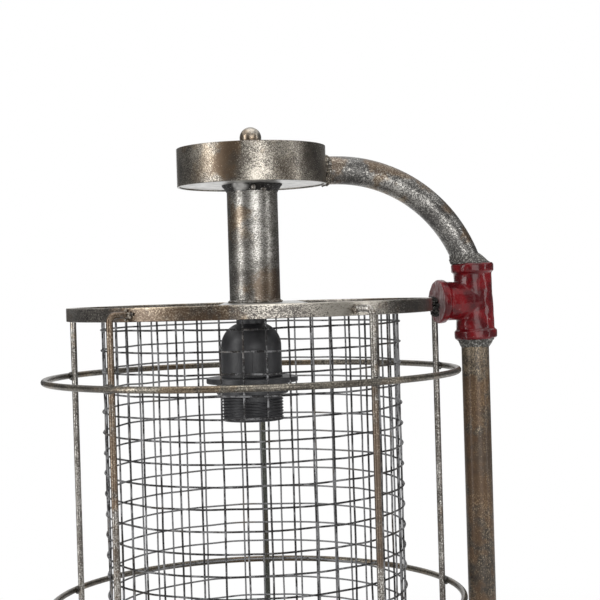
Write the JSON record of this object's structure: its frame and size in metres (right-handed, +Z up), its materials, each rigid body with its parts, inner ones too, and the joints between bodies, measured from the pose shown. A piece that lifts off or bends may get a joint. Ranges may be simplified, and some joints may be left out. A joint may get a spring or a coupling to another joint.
{
  "type": "industrial table lamp",
  "caption": "Industrial table lamp: wire cage with a mesh cylinder round a bare lampholder, hung from a sheet drum on a bent pipe arm with a red pipe tee.",
  "frame": {"origin": "centre of the round base, on the underside of its felt", "axes": "+Z up, +X from the centre of the base towards the upright pipe, +Y to the rear, where the cord gland is"},
  "size_m": [0.308, 0.272, 0.5169],
  "materials": {
    "felt": "black wool felt",
    "aged_steel": "aged raw steel, satin, fine silver speckle",
    "aged_pipe": "aged steel pipe, brown and silver mottle",
    "drum_steel": "gunmetal steel with upright brush marks",
    "band_steel": "speckled steel strip, brown to silver",
    "rod_steel": "bronze and silver mottled rod",
    "pale_steel": "pale ground steel",
    "mesh_wire": "dark welded wire",
    "weld": "burnt weld bead",
    "red_paint": "glossy dark red paint, worn at the edges",
    "black_plastic": "black thermoset, satin",
    "ivory_plastic": "ivory plastic",
    "white_core": "white insulating core",
    "brass": "plain brass",
    "zinc": "zinc-plated steel",
    "rubber": "black rubber",
    "flex_sheath": "off-white flex sheath"
  },
  "bodies": {
    "stand": {"base_felt": "felt", "base_plate": "aged_steel", "base_rim": "aged_steel", "base_top": "aged_steel", "cord_gland": "rubber", "terminal_block": "ivory_plastic", "upright_pipe": "aged_pipe", "pipe_foot_weld": "weld", "tee": "red_paint", "tee_lower_weld": "weld", "tee_upper_weld": "weld", "branch_plug": "weld", "branch_weld": "weld", "arm_pipe": "aged_pipe", "arm_weld": "weld", "drum_rim": "drum_steel", "drum_floor": "drum_steel", "lid_bridge": "aged_steel", "lid_stud": "zinc", "stem_tube": "drum_steel", "stem_collar": "weld", "stem_foot_weld": "weld", "strap_plate": "pale_steel", "top_band": "band_steel", "bottom_band": "band_steel", "upper_guard_ring": "rod_steel", "lower_guard_ring": "rod_steel", "cage_rod_1": "rod_steel", "cage_rod_2": "rod_steel", "cage_rod_3": "rod_steel", "cage_rod_4": "rod_steel", "cage_rod_5": "rod_steel", "rod_end_welds": "weld", "mesh_wires": "mesh_wire", "mesh_hoops": "mesh_wire", "mesh_stays": "rod_steel", "nipple": "zinc", "nipple_nuts": "zinc", "holder_cap": "black_plastic", "holder_core": "white_core", "screw_shell": "brass", "centre_contact": "brass", "holder_skirt": "black_plastic", "internal_flex": "flex_sheath"},
    "lid": {"drum_lid": "drum_steel"},
    "ball": {"ball_nut": "aged_steel"},
    "ring": {"shade_ring": "black_plastic"}
  },
  "joints": [
    {"name": "lid_lift", "type": "slide", "parent": "stand", "child": "lid", "axis": [0, 0, 1], "range_m": [0, 0.04]},
    {"name": "ball_unscrew", "type": "slide", "parent": "lid", "child": "ball", "axis": [0, 0, 1], "range_m": [0, 0.03]},
    {"name": "shade_ring_unscrew", "type": "slide", "parent": "stand", "child": "ring", "axis": [0, 0, -1], "range_m": [0, 0.035]}
  ]
}
